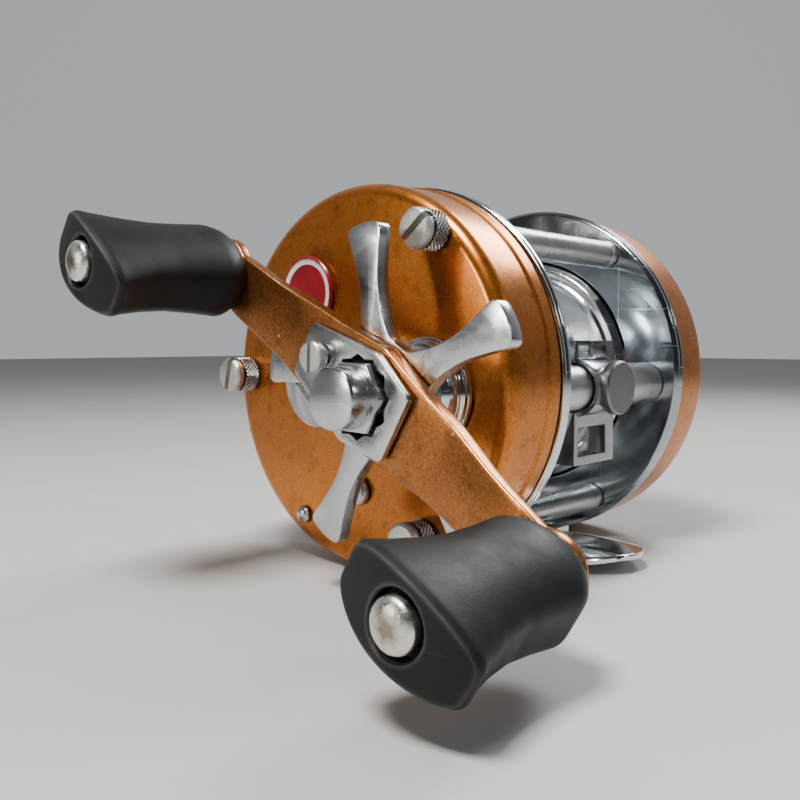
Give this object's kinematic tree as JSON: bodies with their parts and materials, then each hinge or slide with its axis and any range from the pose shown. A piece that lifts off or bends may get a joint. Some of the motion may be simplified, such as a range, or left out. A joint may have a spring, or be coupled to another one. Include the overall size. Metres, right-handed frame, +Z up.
{
  "type": "baitcasting reel",
  "caption": "Round baitcasting reel with painted side cups, open chrome frame, level wind, star drag and a cranked double-paddle handle.",
  "frame": {"origin": "middle of the flat seat under the reel foot, half way between the frame plates", "axes": "+X along the spool axis towards the handle side, +Y forward towards the rod tip and the level wind, +Z up from the rod"},
  "size_m": [0.089, 0.0749, 0.053],
  "materials": {
    "bronze_paint": "metallic bronze lacquer, gloss",
    "copper_paint": "copper lacquer, worn at the edges",
    "chrome": "polished plate with fine scratches",
    "satin_metal": "satin nickel",
    "spool_alloy": "turned and polished",
    "brass": "machined",
    "steel": "machined",
    "rubber": "matte, scuffed",
    "fibre": "pressed fibre",
    "white_plastic": "moulded",
    "badge_enamel": "enamel with a pale rim"
  },
  "bodies": {
    "frame": {"frame_plate_right": "chrome", "frame_plate_left": "chrome", "pillar_top": "satin_metal", "pillar_rear": "satin_metal", "pillar_foot_front": "satin_metal", "pillar_foot_rear": "satin_metal", "reel_foot": "chrome", "foot_saddle": "chrome", "foot_rivet_front": "satin_metal", "foot_rivet_rear": "satin_metal", "side_cup_right": "bronze_paint", "side_cup_left": "bronze_paint", "badge_disc": "badge_enamel", "dome_rivet": "satin_metal", "phillips_screw": "satin_metal", "left_screw_1": "satin_metal", "left_screw_2": "satin_metal", "left_screw_3": "satin_metal", "bearing_carrier_right": "brass", "spool_bearing_right": "steel", "bearing_cap_left": "chrome", "spool_bearing_left": "steel", "gear_bridge_plate": "steel", "pinion_yoke": "steel", "brake_drum": "steel", "worm_tube": "satin_metal", "drive_collar": "chrome"},
    "crank": {"drive_shaft": "steel", "ratchet_wheel": "steel", "main_gear": "brass", "drag_washer": "fibre", "drag_pressure_plate": "steel", "worm_drive_cog": "white_plastic", "handle_arm": "copper_paint", "lock_plate": "satin_metal", "lock_screw": "satin_metal", "handle_nut": "chrome", "knob_pin_front": "satin_metal", "knob_pin_rear": "satin_metal"},
    "star": {"star_drag": "chrome"},
    "front_knob": {"knob_front": "rubber"},
    "rear_knob": {"knob_rear": "rubber"},
    "spool": {"spool": "spool_alloy", "spool_shaft": "steel", "pinion_gear": "brass", "brake_bar": "brass", "brake_block_front": "fibre", "brake_block_rear": "fibre", "click_gear": "brass"},
    "worm": {"worm_shaft": "steel", "worm_cog": "white_plastic"},
    "guide": {"line_guide": "chrome", "guide_pawl": "brass"},
    "tension": {"tension_cap": "satin_metal"},
    "clutch": {"clutch_button": "chrome"},
    "clicker": {"click_button": "chrome"},
    "dog": {"anti_reverse_dog": "steel"},
    "screw_top": {"thumb_screw_top": "satin_metal"},
    "screw_rear": {"thumb_screw_rear": "satin_metal"},
    "screw_bottom": {"thumb_screw_bottom": "satin_metal"}
  },
  "joints": [
    {"name": "handle_crank", "type": "hinge", "parent": "frame", "child": "crank", "pos_m": [0.038, 0.0136, 0.02325], "axis": [1, 0, 0], "continuous": true},
    {"name": "star_turn", "type": "hinge", "parent": "crank", "child": "star", "pos_m": [0.035, 0.0136, 0.02325], "axis": [1, 0, 0], "range_deg": [-180, 180]},
    {"name": "front_knob_spin", "type": "hinge", "parent": "crank", "child": "front_knob", "pos_m": [0.049, 0.03901, 0.00768], "axis": [1, 0, 0], "continuous": true},
    {"name": "rear_knob_spin", "type": "hinge", "parent": "crank", "child": "rear_knob", "pos_m": [0.049, -0.01181, 0.03882], "axis": [1, 0, 0], "continuous": true},
    {"name": "spool_spin", "type": "hinge", "parent": "frame", "child": "spool", "pos_m": [0, 0, 0.0246], "axis": [1, 0, 0], "continuous": true},
    {"name": "worm_spin", "type": "hinge", "parent": "frame", "child": "worm", "pos_m": [0, 0.0212, 0.0233], "axis": [1, 0, 0], "continuous": true},
    {"name": "guide_slide", "type": "slide", "parent": "frame", "child": "guide", "axis": [1, 0, 0], "range_m": [-0.0088, 0.0062]},
    {"name": "tension_turn", "type": "hinge", "parent": "frame", "child": "tension", "pos_m": [0.03, 0, 0.0246], "axis": [1, 0, 0], "range_deg": [-180, 180]},
    {"name": "clutch_press", "type": "slide", "parent": "frame", "child": "clutch", "axis": [0, 0, -1], "range_m": [0, 0.003], "stiffness_N_per_m": 150, "springref_m": -0.0005},
    {"name": "click_slide", "type": "slide", "parent": "frame", "child": "clicker", "axis": [0, 0, 1], "range_m": [0, 0.004]},
    {"name": "dog_lift", "type": "hinge", "parent": "frame", "child": "dog", "pos_m": [0.0196, 0.0042, 0.0104], "axis": [1, 0, 0], "range_deg": [0, 14]},
    {"name": "screw_top_turn", "type": "hinge", "parent": "frame", "child": "screw_top", "pos_m": [0.03, 0.01441, 0.04304], "axis": [1, 0, 0], "range_deg": [-180, 180]},
    {"name": "screw_rear_turn", "type": "hinge", "parent": "frame", "child": "screw_rear", "pos_m": [0.03, -0.0228, 0.0246], "axis": [1, 0, 0], "range_deg": [-180, 180]},
    {"name": "screw_bottom_turn", "type": "hinge", "parent": "frame", "child": "screw_bottom", "pos_m": [0.03, 0.0124, 0.00476], "axis": [1, 0, 0], "range_deg": [-180, 180]}
  ],
  "couplings": [
    {"joint": "spool_spin", "follows": "handle_crank", "ratio": -3.75},
    {"joint": "worm_spin", "follows": "handle_crank", "ratio": -1.375}
  ]
}
